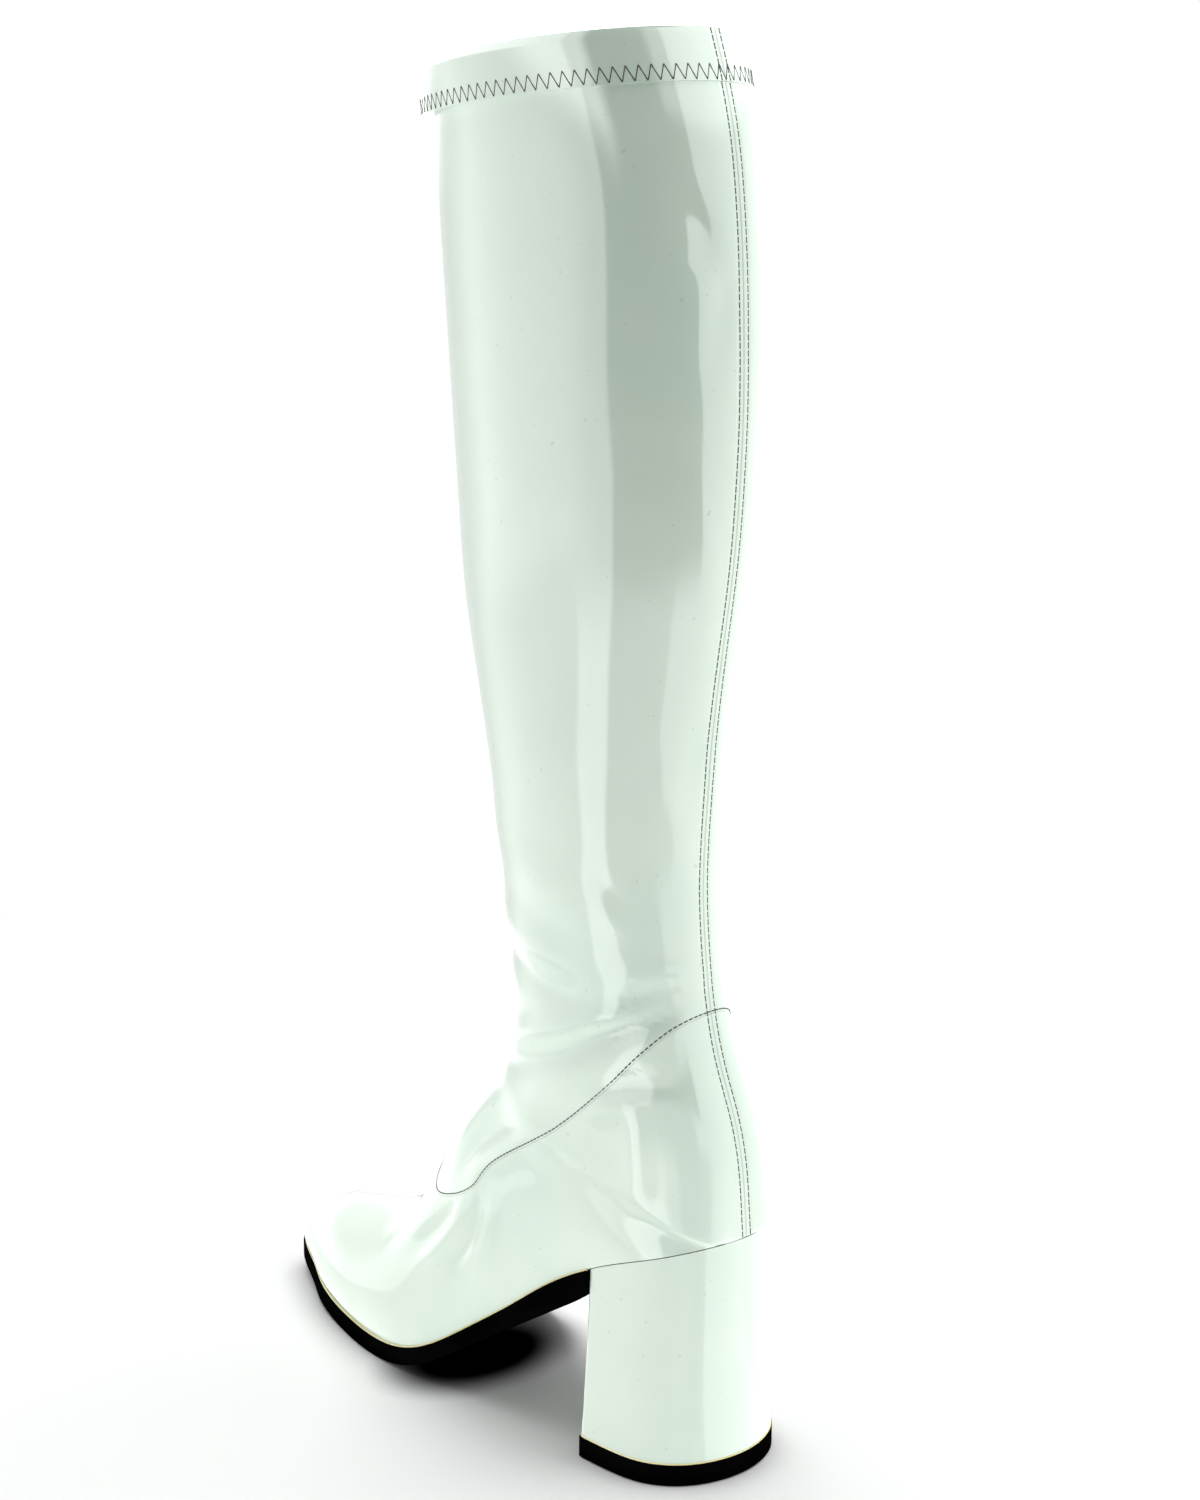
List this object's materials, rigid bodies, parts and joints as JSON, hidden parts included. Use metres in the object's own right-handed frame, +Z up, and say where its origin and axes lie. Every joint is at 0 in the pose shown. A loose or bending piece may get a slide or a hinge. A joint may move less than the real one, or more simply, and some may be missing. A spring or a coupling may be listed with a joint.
{
  "type": "go go boot",
  "caption": "Knee-high patent boot with a block heel, slim shaft, squared round toe, thin black sole and a flat hem band at the collar.",
  "frame": {"origin": "on the floor under the middle of the boot's box", "axes": "+Z up, the toe points along -Y, and +X is the outer side of this left boot"},
  "size_m": [0.099, 0.2384, 0.4552],
  "materials": {
    "white_patent": "high-gloss white patent with a pale mint tint",
    "black_sole": "smooth semi-gloss black",
    "insole_lining": "plain pale lining"
  },
  "bodies": {
    "root": {"upper": "white_patent", "heel_block": "white_patent", "outsole": "black_sole", "top_lift": "black_sole", "insole": "insole_lining"}
  },
  "joints": []
}
